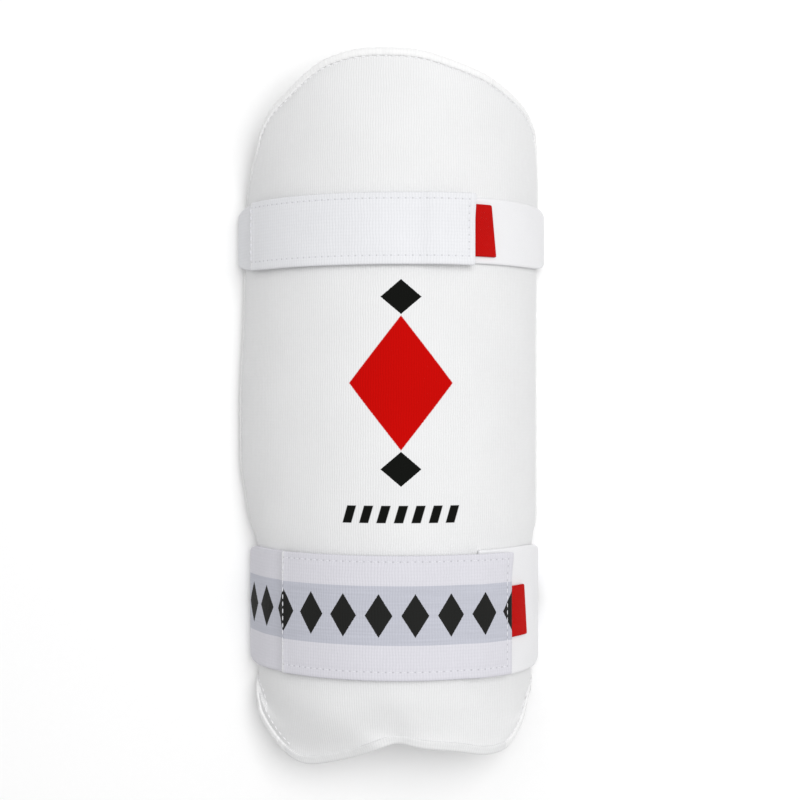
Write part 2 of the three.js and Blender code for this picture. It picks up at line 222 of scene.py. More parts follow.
class ThreadSettings(bpy.types.PropertyGroup):
    """The sewing thread."""

    pitch: length("Pitch", "From one stitch to the next", 0.0027)
    stitch: length("Stitch", "Length of a stitch", 0.0019)
    width: length("Width", "Width of the thread", 0.00042)
    rim_pitch: length("Rim pitch", "From one stitch to the next along the rim", 0.0029)
    rim_width: length("Rim thread", "Width of the thread along the rim", 0.00055)
    rim_rise: length("Rim rise", "How far the rim stitches stand out of the cover", 0.0001)
    rim_inset: length("Rim inset", "How far inside the seam the rim stitches lie", 0.0007)
    probe: length("Probe", "How far off the rim the look for the surface under a stitch starts", 0.004)
    probe_reach: length("Probe reach", "How far that look goes", 0.01)
    white: color("Thread white", "Colour of the thread", (0.90, 0.90, 0.91))
    strap_white: color("Strap thread white", "Colour of the thread on the straps", (0.79, 0.79, 0.83))


class StageSettings(bpy.types.PropertyGroup):
    """The floor, the lights and the camera."""

    floor: color("Floor", "Colour of the floor", (0.95, 0.95, 0.95))
    floor_size: length("Floor size", "Side of the floor", 60.0)
    camera_x: length("Camera X", "Place of the camera across the guard", 0.00363)
    camera_y: length("Camera Y", "Place of the camera along the guard", 0.00433)
    camera_z: length("Camera height", "Height of the camera over the floor", 0.631)
    sky: share("Sky", "Strength of the light from all round", 0.515)
    key: FloatProperty(name="Key", description="Power of the large light", default=11.2, unit="POWER")
    fill: FloatProperty(name="Fill", description="Power of the second light", default=1.3, unit="POWER")


class ArmGuardSettings(bpy.types.PropertyGroup):
    """All settings of the arm guard."""

    cover: PointerProperty(type=CoverSettings)
    rim: PointerProperty(type=RimSettings)
    strap: PointerProperty(type=StrapSettings)
    motif: PointerProperty(type=MotifSettings)
    thread: PointerProperty(type=ThreadSettings)
    stage: PointerProperty(type=StageSettings)


# Working with objects and meshes


def pick(piece):
    """Makes one object the only selected one, and the active one."""
    bpy.ops.object.select_all(action="DESELECT")
    piece.select_set(True)
    bpy.context.view_layer.objects.active = piece


def coords(mesh):
    """The places of a mesh's vertices as an array."""
    flat = np.zeros(len(mesh.vertices) * 3)
    mesh.vertices.foreach_get("co", flat)
    return flat.reshape(-1, 3)


def set_coords(mesh, places):
    """Moves a mesh's vertices to the places of an array."""
    mesh.vertices.foreach_set("co", np.ascontiguousarray(places, dtype=float).ravel())
    mesh.update()


def normals(mesh):
    """The normals of a mesh's vertices as an array."""
    return np.array([vertex.normal for vertex in mesh.vertices])


def smoothstep(value, low, high):
    """A smooth rise from 0 at low to 1 at high."""
    along = np.clip((value - low) / (high - low), 0, 1)
    return along * along * (3 - 2 * along)


def apply_modifiers(piece):
    """Applies what modifiers a piece has, from the first on."""
    pick(piece)
    for modifier in list(piece.modifiers):
        bpy.ops.object.modifier_apply(modifier=modifier.name)


def smooth_cells(piece, levels):
    """Splits a piece's faces into smaller ones on a smooth surface."""
    subdivision = piece.modifiers.new("smooth cells", "SUBSURF")
    subdivision.levels = levels
    subdivision.render_levels = levels
    apply_modifiers(piece)


def copy_of_node(node, name, as_quads=True):
    """A merged copy of a CAD node's mesh, whose triangles are joined in pairs."""
    piece = bpy.data.objects.new(name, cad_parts[node].data.copy())
    bpy.context.scene.collection.objects.link(piece)
    piece.data.materials.clear()
    pick(piece)
    bpy.ops.object.mode_set(mode="EDIT")
    bpy.ops.mesh.select_all(action="SELECT")
    bpy.ops.mesh.remove_doubles(threshold=1e-6)
    if as_quads:
        bpy.ops.mesh.tris_convert_to_quads(
            face_threshold=math.pi, shape_threshold=math.pi, topology_influence=2
        )
    bpy.ops.object.mode_set(mode="OBJECT")
    return piece


def set_cloth_uv(mesh, along, across):
    """Gives each vertex its place on the flat cloth, in metres, as the UV map."""
    layer = mesh.uv_layers.get(UV_NAME) or mesh.uv_layers.new(name=UV_NAME)
    corner = np.zeros(len(mesh.loops), dtype=int)
    mesh.loops.foreach_get("vertex_index", corner)
    layer.data.foreach_set("uv", np.stack([along, across], axis=1)[corner].ravel())
    mesh.uv_layers.active = layer


def finish_piece(piece, slot, *stands_for):
    """Shades a piece smooth, hangs it on the root body and hides the nodes that it stands for; its slot is
    not used.
    """
    pick(piece)
    bpy.ops.object.shade_smooth()
    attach(piece, "root")
    if stands_for:
        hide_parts(*stands_for)
    return piece


def in_order(edges):
    """The places along a closed loop of edges, in order round it."""
    beside = {}
    for edge in edges:
        for here, there in (edge.verts, reversed(edge.verts)):
            beside.setdefault(here, []).append(there)
    first = min(beside, key=lambda vertex: tuple(vertex.co))
    line, before = [first], None
    while True:
        onward = [vertex for vertex in beside[line[-1]] if vertex is not before]
        onward.sort(key=lambda vertex: tuple(vertex.co))
        before = line[-1]
        if onward[0] is first:
            return np.array([vertex.co for vertex in line])
        line.append(onward[0])


def edge_walk(vertex, edge):
    """The vertices straight on along the edges of a grid, until they come round."""
    line = [vertex]
    while edge.other_vert(vertex) is not line[0]:
        vertex = edge.other_vert(vertex)
        line.append(vertex)
        beside = set(edge.link_faces)
        edge = next(other for other in vertex.link_edges if not beside & set(other.link_faces))
    return line


def surface_of(mesh):
    """A mesh's surface, to find places on it."""
    points = [vertex.co for vertex in mesh.vertices]
    return BVHTree.FromPolygons(points, [face.vertices for face in mesh.polygons])


def rounded(line, times=2):
    """A line whose corners are cut again and again, which rounds it."""
    for _ in range(times):
        here, onward = line[:-1], line[1:]
        cut = np.stack([0.75 * here + 0.25 * onward, 0.25 * here + 0.75 * onward], axis=1)
        line = np.concatenate([line[:1], cut.reshape(-1, line.shape[1]), line[-1:]])
    return line


def lengths_along(line):
    """How far each point of a line lies from its first one."""
    steps = np.linalg.norm(np.diff(line, axis=0), axis=1)
    return np.concatenate([[0], np.cumsum(steps)])


def evenly(line, step):
    """A line again, with points one even step apart."""
    along = lengths_along(line)
    at = np.linspace(0, along[-1], int(round(along[-1] / step)) + 1)
    return np.stack([np.interp(at, along, column) for column in line.T], axis=1)


# The shell's own places


class Shell:
    """The arcs of the shell's section, its rim and the places on them."""

    def __init__(self):
        points = coords(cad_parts["pad_shell"].data)
        top = points[points[:, 2].argmax()]
        self.ridge_x, self.top_z = top[0], top[2]
        self.radius = {}
        for side, edge in ((-1, points[:, 0].argmin()), (1, points[:, 0].argmax())):
            half = abs(points[edge, 0] - self.ridge_x)
            depth = self.top_z - points[edge, 2]
            self.radius[side] = (half**2 + depth**2) / (2 * depth)
        self.rim = self.rim_line()
        self.tree = KDTree(len(self.rim))
        for index, place in enumerate(self.rim):
            self.tree.insert(place, index)
        self.tree.balance()
        self.rim_step = np.linalg.norm(self.rim[1] - self.rim[0])

    def from_axis(self, points):
        """The ways out from the arc's axis to points, how far it is, and the arc's radius there."""
        radius = np.where(points[:, 0] < self.ridge_x, self.radius[-1], self.radius[1])
        away = np.zeros_like(points)
        away[:, 0] = points[:, 0] - self.ridge_x
        away[:, 2] = points[:, 2] - (self.top_z - radius)
        reach = np.linalg.norm(away, axis=1)
        return away / reach[:, None], reach, radius

    def arc_lengths(self, points):
        """How far round the section points lie from the ridge, left negative."""
        away, _, radius = self.from_axis(points)
        return radius * np.arctan2(away[:, 0], away[:, 2])

    def rim_line(self):
        """The closed line along the outer edge of the rim, evenly stepped.

        It is found as the band's edge loop that lies against the shell's outer face, laid on the shell.
        """
        band = copy_of_node("edge_binding", "rim_source")
        mesh = bmesh.new()
        mesh.from_mesh(band.data)
        mesh.verts.ensure_lookup_table()
        ways = [edge_walk(mesh.verts[0], edge) for edge in mesh.verts[0].link_edges]
        ring = min(ways, key=len)
        lines = []
        for vertex in ring:
            sides = [edge for edge in vertex.link_edges if edge.other_vert(vertex) not in ring]
            lines.append(np.array([v.co for v in edge_walk(vertex, sides[0])]))
        mesh.free()
        bpy.data.meshes.remove(band.data)
        tree = surface_of(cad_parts["pad_shell"].data)
        beside = sorted(lines, key=lambda line: sum(tree.find_nearest(p)[3] for p in line))[:2]
        upper = max(beside, key=lambda line: self.from_axis(line)[1].sum())
        line = np.array([tree.find_nearest(point)[0] for point in upper])
        line = np.concatenate([line, line[:1]])
        return evenly(line, RIM_STEP)[:-1]

    def hidden_seam(self, points):
        """1 along the bottom edge, whose seam lies underneath, and 0 where the seam shows."""
        x, y = points[:, 0], points[:, 1]
        ends = smoothstep(x, *HIDDEN_FROM_LEFT) * (1 - smoothstep(x, *HIDDEN_TO_RIGHT))
        return ends * smoothstep(-y, *HIDDEN_BELOW)

    def lowered_lobe(self, points, cover):
        """How far the left lobe and the crease beside it lie under the plain shape."""
        offset = points[:, :2] - CREASE_START
        along, across = offset @ CREASE_WAY, offset @ np.array([-CREASE_WAY[1], CREASE_WAY[0]])
        fade = smoothstep(along, *CREASE_FADE_IN) * (1 - smoothstep(along, 0.0, cover.crease_length))
        crease = cover.crease * np.exp(-((across / cover.crease_width) ** 2)) * fade
        return cover.lobe_drop * smoothstep(across, 0, cover.lobe_reach) + crease

    def from_rim(self, points):
        """How far points lie from the rim, how far along it, and the number of its nearest place."""
        found = [self.tree.find(point)[1:] for point in points]
        index = np.array([item[0] for item in found])
        return np.array([item[1] for item in found]), index * self.rim_step, index


# The shell's cover


def strap_bands():
    """The middle and half width of each strap along the guard."""
    bands = []
    for strap in STRAPS:
        low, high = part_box(f"{strap}_strap")
        bands.append(((low.y + high.y) / 2, (high.y - low.y) / 2))
    return bands


def free_of_straps(y, release):
    """0 under a strap and 1 well away from it."""
    free = np.ones(len(y))
    for middle, half in strap_bands():
        free *= smoothstep(np.abs(y - middle), half + STRAP_MARGIN, half + release)
    return free


def swell(piece, freedom, most):
    """Blows a piece up like a filled pad, as far as its freedom lets it."""
    rest = coords(piece.data)
    held = piece.vertex_groups.new(name="held")
    for index, free in enumerate(freedom):
        held.add([index], 1 - float(free), "REPLACE")
    cloth = piece.modifiers.new("swelling", "CLOTH")
    cloth.settings.quality = 4
    cloth.settings.mass = 0.3
    cloth.settings.tension_stiffness = PAD_STIFFNESS
    cloth.settings.compression_stiffness = PAD_STIFFNESS
    cloth.settings.bending_stiffness = 1
    cloth.settings.use_pressure = True
    cloth.settings.uniform_pressure_force = PAD_PRESSURE
    cloth.settings.vertex_group_mass = "held"
    cloth.settings.effector_weights.gravity = 0
    for number in range(1, PAD_FRAMES + 1):
        bpy.context.scene.frame_set(number)
    apply_modifiers(piece)
    bpy.context.scene.frame_set(1)
    moved = coords(piece.data) - rest
    far = np.linalg.norm(moved, axis=1)
    keep = np.minimum(1, most / np.maximum(far, 1e-9)) * freedom
    set_coords(piece.data, rest + moved * keep[:, None])
    piece.vertex_groups.clear()


def sew_cover(shell, cover):
    """The padded cover, pulled in at its rim and pressed in under the straps."""
    piece = copy_of_node("pad_shell", "shell_cover")
    pick(piece)
    bpy.ops.object.mode_set(mode="EDIT")
    bpy.ops.mesh.select_mode(type="EDGE")
    bpy.ops.mesh.select_all(action="DESELECT")
    bpy.ops.mesh.edges_select_sharp(sharpness=CORNER)
    bpy.ops.transform.edge_crease(value=cover.edge_crease)
    bpy.ops.object.mode_set(mode="OBJECT")
    smooth_cells(piece, 1)
    points = coords(piece.data)
    near_rim, _, _ = shell.from_rim(points)
    freedom = free_of_straps(points[:, 1], cover.release) * smoothstep(near_rim, *HELD_AT_RIM)
    swell(piece, freedom, cover.swell)
    smooth_cells(piece, 1)
    relieve_cover(piece, shell, cover)
    return piece


def relieve_cover(piece, shell, cover):
    """Presses and puckers the cover's fine mesh, and lays its cloth places on it."""
    points = coords(piece.data)
    away, _, _ = shell.from_axis(points)
    facing = np.einsum("ij,ij->i", away, normals(piece.data))
    outside = smoothstep(facing, *OUTER_FACES)
    near_rim, along_rim, _ = shell.from_rim(points)
    free = free_of_straps(points[:, 1], cover.release)
    inland = smoothstep(near_rim, *WAVES_FROM)
    uneven = np.array([noise.noise(Vector(point) / cover.wave_length) for point in points])
    folds = np.array([noise.noise(Vector((at / cover.pucker_length, 0.5, 0))) for at in along_rim])
    fine = np.exp(-near_rim / cover.pucker_reach) * smoothstep(near_rim, *PUCKERS_FROM)
    offset = cover.wave * uneven * free * inland
    offset += cover.pucker * folds * fine * free
    offset -= cover.press * (1 - free) * inland
    hidden = shell.hidden_seam(points)
    pulled = cover.groove * np.exp(-((near_rim / cover.groove_reach) ** 2)) * (1 - hidden)
    dip = 1 - np.sin(np.clip(near_rim / cover.dip_reach, 0, 1) * math.pi / 2)
    offset += outside * (cover.dip * dip * hidden - pulled)
    moved = points + away * (offset * np.where(facing < INNER_FACES, -cover.lining_share, 1))[:, None]
    moved[:, 2] -= shell.lowered_lobe(points, cover)
    set_coords(piece.data, moved)
    set_cloth_uv(piece.data, shell.arc_lengths(points), points[:, 1])


# The rolled band


def roll_band(shell, cover, rim, thread):
    """The rolled band, tucked against the cover and pinched by its stitches.

    Along the bottom edge it meets the cover flush and has the cover's cloth places and its material.
    """
    piece = copy_of_node("edge_binding", "rim_band")
    smooth_cells(piece, 2)
    points = coords(piece.data)
    out = normals(piece.data)
    _, along_rim, index = shell.from_rim(points)
    towards = shell.rim[index] - points
    towards /= np.maximum(np.linalg.norm(towards, axis=1), 1e-9)[:, None]
    inward = smoothstep(np.einsum("ij,ij->i", towards, out), *TUCKED_FACES)
    pinch = rim.pinch * np.cos(2 * math.pi * along_rim / thread.rim_pitch)
    hidden = shell.hidden_seam(points)
    offset = rim.swell + pinch * (1 - hidden) + (rim.tuck + rim.hidden_tuck * hidden) * inward
    away, _, _ = shell.from_axis(points)
    upward = smoothstep(np.einsum("ij,ij->i", away, out), *RAISED_FACES)
    risen = rim.flush * hidden * upward
    moved = points + out * offset[:, None] + away * risen[:, None]
    moved[:, 2] -= shell.lowered_lobe(points, cover)
    set_coords(piece.data, moved)
    below = hidden > 0.5
    across = np.where(below, shell.arc_lengths(points), along_rim)
    set_cloth_uv(piece.data, across, np.where(below, points[:, 1], points[:, 2]))
    for face in piece.data.polygons:
        face.material_index = int(below[list(face.vertices)].all())
    return piece


# Ribbons and the ways that they take


def section_faces(node, y):
    """The two long faces of a ribbon's section at a given y, both from the end further right."""
    piece = copy_of_node(node, "section_source", as_quads=False)
    pick(piece)
    bpy.ops.object.mode_set(mode="EDIT")
    bpy.ops.mesh.select_all(action="SELECT")
    bpy.ops.mesh.bisect(plane_co=(0, y, 0), plane_no=(0, 1, 0), clear_inner=True, clear_outer=True)
    bpy.ops.object.mode_set(mode="OBJECT")
    mesh = bmesh.new()
    mesh.from_mesh(piece.data)
    line = in_order(mesh.edges)[:, [0, 2]]
    mesh.free()
    bpy.data.meshes.remove(piece.data)
    before, after = line - np.roll(line, 1, axis=0), np.roll(line, -1, axis=0) - line
    turn = np.einsum("ij,ij->i", before, after)
    turn /= np.linalg.norm(before, axis=1) * np.linalg.norm(after, axis=1)
    corners = np.flatnonzero(turn < math.cos(CORNER))
    line = np.roll(line, -corners[0], axis=0)
    starts = list(corners - corners[0]) + [len(line)]
    line = np.concatenate([line, line[:1]])
    chains = [line[a : b + 1] for a, b in zip(starts[:-1], starts[1:])]
    chains.sort(key=lambda chain: -lengths_along(chain)[-1])
    faces = [chain if chain[0, 0] > chain[-1, 0] else chain[::-1] for chain in chains[:2]]
    return faces


class Run:
    """The way that a ribbon takes in the XZ plane, from its free end on."""

    def __init__(self, node):
        low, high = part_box(node)
        self.middle_y = (low.y + high.y) / 2
        outer, inner = section_faces(node, self.middle_y)
        self.thickness = float(np.median(np.linalg.norm(outer - inner, axis=1)))
        self.line = rounded((outer + inner) / 2)
        self.at = lengths_along(self.line)
        self.length = self.at[-1]
        tangent = np.gradient(self.line, self.at, axis=0)
        tangent /= np.linalg.norm(tangent, axis=1)[:, None]
        self.ahead = tangent
        self.out = np.stack([-tangent[:, 1], tangent[:, 0]], axis=1)
        if self.out[0] @ (outer[0] - inner[0]) < 0:
            self.out = -self.out
        self.half = self.half_widths(coords(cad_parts[node].data))

    def half_widths(self, points):
        """Half the ribbon's width at each point of its line."""
        stations = np.array([self.nearest(point) for point in points])
        halves = np.abs(points[:, 1] - self.middle_y)
        around = [halves[np.abs(stations - at) < WIDTH_REACH] for at in self.at]
        known = [i for i, near in enumerate(around) if len(near)]
        return np.interp(self.at, self.at[known], [around[i].max() for i in known])

    def narrow_at_turns(self, strap):
        """Narrows the ribbon where it turns under the shell, and a little across the back."""
        left, right = self.at[self.line[:, 0].argmin()], self.at[self.line[:, 0].argmax()]
        off = np.minimum(np.abs(self.at - left), np.abs(self.at - right))
        off = np.hypot(off, strap.turn_bluntness) - strap.turn_bluntness
        across_back = (self.at > left) & (self.at < right)
        rest = np.where(across_back, strap.back_narrowing, 0)
        turned = np.exp(-off / strap.turn_reach)
        self.half = self.half - rest - (strap.turn_narrowing - rest) * turned

    def nearest(self, point):
        """How far along the line the nearest place to a point is."""
        gap = self.line - np.array([point[0], point[2]])
        return self.at[np.einsum("ij,ij->i", gap, gap).argmin()]

    def place(self, along, across, out=0.0):
        """The points at given lengths along and across, raised out from the middle line."""
        columns = []
        beyond = along - np.clip(along, 0, self.length)
        for axis in (0, 1):
            middle = np.interp(along, self.at, self.line[:, axis])
            middle = middle + beyond * np.interp(along, self.at, self.ahead[:, axis])
            columns.append(middle + out * np.interp(along, self.at, self.out[:, axis]))
        return np.stack([columns[0], self.middle_y + across, columns[1]], axis=-1)

    def outward(self, along):
        """The ways out of the ribbon's face."""
        out = [np.interp(along, self.at, self.out[:, axis]) for axis in (0, 1)]
        return np.stack([out[0], np.zeros_like(out[0]), out[1]], axis=-1)


def weave_ribbon(name, run, cell, raised=None, slant=0.0):
    """A ribbon along its run: a flat grid laid on the way, thickened and rounded."""
    rows = max(4, round(run.length / cell))
    columns = max(4, round(2 * run.half.max() / cell))
    bpy.ops.object.select_all(action="DESELECT")
    bpy.ops.mesh.primitive_grid_add(x_subdivisions=rows, y_subdivisions=columns, size=2)
    piece = bpy.context.object
    piece.name = name
    flat = coords(piece.data)
    along = (flat[:, 0] + 1) / 2 * run.length
    across = flat[:, 1] * np.interp(along, run.at, run.half)
    leaning = along + slant * across
    out = raised(along, across) if raised else 0.0
    set_coords(piece.data, run.place(leaning, across, out))
    piece.data.uv_layers.active.name = UV_NAME
    set_cloth_uv(piece.data, along, across)
    wall = piece.modifiers.new("thickness", "SOLIDIFY")
    wall.thickness = run.thickness
    wall.offset = 0
    apply_modifiers(piece)
    smooth_cells(piece, 1)
    return piece


def hem(run, patch_end, strap):
    """The lines of the stitched box on a strap: upper, lower, at the free end and at the far end."""
    half = float(np.interp(strap.hem_width_at, run.at, run.half))
    return half - strap.hem_top, strap.hem_bottom - half, strap.hem_end, patch_end


def strap_relief(run, lines, strap):
    """How far a strap's webbing is pressed in or stands off, at lengths along and across."""
    upper, lower, near, far = lines

    def raised(along, across):
        inside = (along > near - strap.hem_overrun) & (along < far + strap.hem_overrun)
        within = (across > lower - strap.hem_overrun) & (across < upper + strap.hem_overrun)
        press = np.zeros_like(along)
        for line in (upper, lower):
            press = np.maximum(press, inside * np.exp(-(((across - line) / strap.hem_width) ** 2)))
        press = np.maximum(press, within * np.exp(-(((along - near) / strap.hem_width) ** 2)))
        beyond = (along - far - strap.step_length) / strap.step_length
        on_ridge = (along - far - strap.ridge_from) / strap.ridge_half
        ridge = strap.ridge * np.exp(-(on_ridge**2))
        step = strap.step_depth * np.exp(-(beyond**2) * 2)
        reach = np.hypot(along, run.half[0] - across) / strap.corner_reach
        lift = strap.corner_lift * (1 - smoothstep(reach, 0, 1))
        return lift + ridge - step - strap.hem_depth * press

    return raised


# Stitches


def sew(name, places, directions, outs, long, wide):
    """Small stitches at the given places, each a rounded bit of thread."""
    bpy.ops.object.select_all(action="DESELECT")
    bpy.ops.mesh.primitive_uv_sphere_add(segments=6, ring_count=5, radius=0.5)
    first = bpy.context.object
    first.name = name
    bpy.ops.object.mode_set(mode="EDIT")
    bpy.ops.mesh.select_all(action="SELECT")
    bpy.ops.transform.rotate(value=math.pi / 2, orient_axis="Y", center_override=(0, 0, 0))
    bpy.ops.transform.resize(value=(long, wide, wide), center_override=(0, 0, 0))
    bpy.ops.object.mode_set(mode="OBJECT")
    pieces = []
    for place, direction, out in zip(places, directions, outs):
        out, direction = Vector(out).normalized(), Vector(direction).normalized()
        side = out.cross(direction).normalized()
        turn = Matrix((direction, side, out)).transposed().to_4x4()
        copy = first if not pieces else bpy.data.objects.new(name + "_part", first.data.copy())
        if pieces:
            bpy.context.scene.collection.objects.link(copy)
        copy.matrix_world = Matrix.Translation(place) @ turn
        pieces.append(copy)
    for piece in pieces:
        piece.select_set(True)
    bpy.context.view_layer.objects.active = first
    bpy.ops.object.join()
    bpy.ops.object.transform_apply(location=True, rotation=True, scale=True)
    return first


def stitch_box(name, run, lines, thread, raised):
    """The stitches along the box sewn on a strap."""
    upper, lower, near, far = lines
    corners = np.array([(near, upper), (near, lower), (far, lower), (far, upper), (near, upper)])
    along, across, way = [], [], []
    for start, end in zip(corners[:-1], corners[1:]):
        count = int(round(np.linalg.norm(end - start) / thread.pitch))
        for step in range(count):
            spot = start + (end - start) * (step + 0.5) / count
            along.append(spot[0])
            across.append(spot[1])
            way.append((end - start) / np.linalg.norm(end - start))
    along, across, way = np.array(along), np.array(across), np.array(way)
    lift = raised(along, across) + run.thickness / 2 + thread.width * 0.1
    places = run.place(along, across, lift)
    ahead = run.place(along + 0.001 * way[:, 0], across + 0.001 * way[:, 1], lift)
    return sew(name, places, ahead - places, run.outward(along), thread.stitch, thread.width)


def stitch_rim(shell, thread, band, cover):
    """The stitches round the rim, on the cover just inside the band."""
    lies_on = [surface_of(piece.data) for piece in (band, cover)]
    closed = np.concatenate([shell.rim, shell.rim[:1]])
    count = int(lengths_along(closed)[-1] / thread.rim_pitch)
    at = (np.arange(count) + 0.5) / count * (len(closed) - 1)
    columns = [np.interp(at, np.arange(len(closed)), column) for column in closed.T]
    seam = np.stack(columns, axis=1)
    ahead = np.roll(seam, -1, axis=0) - np.roll(seam, 1, axis=0)
    centre = seam.mean(axis=0)
    shows = shell.hidden_seam(seam) < 0.5
    seam, ahead = seam[shows], ahead[shows]
    out, _, _ = shell.from_axis(seam)
    outside = np.cross(ahead, out)
    outside /= np.linalg.norm(outside, axis=1)[:, None]
    outside *= np.sign(np.einsum("ij,ij->i", outside, seam - centre))[:, None]
    start = seam - outside * thread.rim_inset + out * thread.probe
    places = []
    for place, away in zip(start, out):
        hits = [tree.ray_cast(Vector(place), -Vector(away), thread.probe_reach) for tree in lies_on]
        found = [hit for hit in hits if hit[0] is not None]
        plain = Vector(place - away * thread.probe)
        nearest = min(found, key=lambda hit: hit[3])[0] if found else plain
        places.append(nearest + Vector(away) * thread.rim_rise)
    return sew("rim_stitches", places, ahead, out, thread.stitch, thread.rim_width)


# Materials


class Graph:
    """Adds nodes to a node tree and links them."""

    def __init__(self, tree):
        self.tree = tree

    def plug(self, socket, value):
        """Links a socket's value, or sets it."""
        if isinstance(value, bpy.types.NodeSocket):
            self.tree.links.new(value, socket)
        elif isinstance(value, (tuple, list)) and len(value) == 3 and socket.type == "RGBA":
            socket.default_value = (*value, 1)
        else:
            socket.default_value = value

    def add(self, kind, settings=None, **sockets):
        """A node with its settings, its sockets named with underscores for spaces."""
        node = self.tree.nodes.new("ShaderNode" + kind)
        for name, value in (settings or {}).items():
            setattr(node, name, value)
        for name, value in sockets.items():
            self.plug(node.inputs[name.replace("_", " ")], value)
        return node

    def math(self, operation, *values):
        """The result of a Math node."""
        node = self.add("Math", {"operation": operation})
        for socket, value in zip(node.inputs, values):
            self.plug(socket, value)
        return node.outputs[0]

    def mix(self, factor, first, second):
        """A colour between two colours."""
        node = self.add("Mix", {"data_type": "RGBA"})
        for index, value in ((0, factor), (6, first), (7, second)):
            self.plug(node.inputs[index], value)
        return node.outputs[2]

    def group(self, tree, **sockets):
        """A node group's node."""
        node = self.tree.nodes.new("ShaderNodeGroup")
        node.node_tree = tree
        for name, value in sockets.items():
            self.plug(node.inputs[name.replace("_", " ")], value)
        return node

    def cloth_place(self):
        """The place on the flat cloth, in metres, and its two parts."""
        place = self.add("UVMap", {"uv_map": UV_NAME}).outputs["UV"]
        parts = self.add("SeparateXYZ", Vector=place)
        return place, parts.outputs["X"], parts.outputs["Y"]


def new_group(name, inputs, outputs):
    """An empty node group with named sockets, its graph and its two end nodes."""
    tree = bpy.data.node_groups.new(name, "ShaderNodeTree")
    for socket, kind, default in inputs:
        made = tree.interface.new_socket(name=socket, in_out="INPUT", socket_type="NodeSocket" + kind)
        if kind == "Float":
            made.default_value = default
    for socket in outputs:
        tree.interface.new_socket(name=socket, in_out="OUTPUT", socket_type="NodeSocketFloat")
    graph = Graph(tree)
    return tree, graph, tree.nodes.new("NodeGroupInput").outputs, tree.nodes.new("NodeGroupOutput")


def rib_weave_group():
    """Ribs across X with yarns over them: their height, 0 to 1."""
    tree, graph, given, result = new_group(
        "Rib Weave",
        [
            ("Vector", "Vector", None),
            ("Rib", "Float", 0.001),
            ("Yarn", "Float", 0.001),
            ("Yarn Share", "Float", 0.4),
        ],
        ["Height"],
    )
    parts = graph.add("SeparateXYZ", Vector=given["Vector"])
    wander = graph.add("TexNoise", Vector=given["Vector"], Scale=160.0, Detail=1.0).outputs[0]
    shift = graph.math("MULTIPLY", graph.math("SUBTRACT", wander, 0.5), 1.1)
    rib_at = graph.math("ADD", graph.math("DIVIDE", parts.outputs["X"], given["Rib"]), shift)
    rib = graph.math("ABSOLUTE", graph.math("SINE", graph.math("MULTIPLY", rib_at, math.pi)))
    yarn_at = graph.math("DIVIDE", parts.outputs["Y"], given["Yarn"])
    yarn = graph.math("ABSOLUTE", graph.math("SINE", graph.math("MULTIPLY", yarn_at, math.pi)))
    yarn_part = graph.math("MULTIPLY", yarn, given["Yarn Share"])
    rib_part = graph.math("MULTIPLY", rib, graph.math("SUBTRACT", 1.0, given["Yarn Share"]))
    worn = graph.add("TexNoise", Vector=given["Vector"], Scale=420.0, Detail=2.0).outputs[0]
    uneven = graph.math("ADD", 0.55, graph.math("MULTIPLY", worn, 0.9))
    plain = graph.math("ADD", rib_part, yarn_part)
    graph.plug(result.inputs["Height"], graph.math("MULTIPLY", plain, uneven))
    return tree


def fibre_group():
    """Loose fibres and cloudy tone: a fine value and a broad one, both round 0.5."""
    tree, graph, given, result = new_group(
        "Fibres",
        [("Vector", "Vector", None), ("Fine", "Float", 2400), ("Broad", "Float", 60)],
        ["Fine", "Broad"],
    )
    fine = graph.add("TexNoise", Vector=given["Vector"], Scale=given["Fine"], Detail=3.0)
    broad = graph.add("TexNoise", Vector=given["Vector"], Scale=given["Broad"], Detail=2.0)
    graph.plug(result.inputs["Fine"], fine.outputs[0])
    graph.plug(result.inputs["Broad"], broad.outputs[0])
    return tree


def lozenge_group():
    """A lozenge with slightly ragged edges, as a mask."""
    tree, graph, given, result = new_group(
        "Lozenge",
        [
            ("X", "Float", 0),
            ("Y", "Float", 0),
            ("Half Width", "Float", 0.01),
            ("Half Height", "Float", 0.01),
            ("Ragged", "Float", 0),
        ],
        ["Mask"],
    )
    x = graph.math("DIVIDE", graph.math("ABSOLUTE", given["X"]), given["Half Width"])
    y = graph.math("DIVIDE", graph.math("ABSOLUTE", given["Y"]), given["Half Height"])
    inside = graph.math("SUBTRACT", graph.math("SUBTRACT", 1.0, graph.math("ADD", x, y)), given["Ragged"])
    steep = graph.math("MULTIPLY", inside, 60.0)
    clamped = graph.add("Clamp", Value=steep).outputs[0]
    graph.plug(result.inputs["Mask"], clamped)
    return tree


def new_material(name):
    """A material with an empty graph, its shader and its shader's sockets."""
    material = bpy.data.materials.new(name)
    material.use_nodes = True
    tree = material.node_tree
    shader = tree.nodes["Principled BSDF"]
    return material, Graph(tree), shader


def dress(graph, shader, tone, height, *, roughness, sheen, bump, distance, gloss=0.3):
    """Plugs a cloth's colour and height into its shader."""
    graph.plug(shader.inputs["Base Color"], tone)
    graph.plug(shader.inputs["Roughness"], roughness)
    graph.plug(shader.inputs["Sheen Weight"], sheen)
    graph.plug(shader.inputs["Specular IOR Level"], gloss)
    raised = graph.add("Bump", Strength=bump, Distance=distance, Height=height)
    graph.plug(shader.inputs["Normal"], raised.outputs["Normal"])


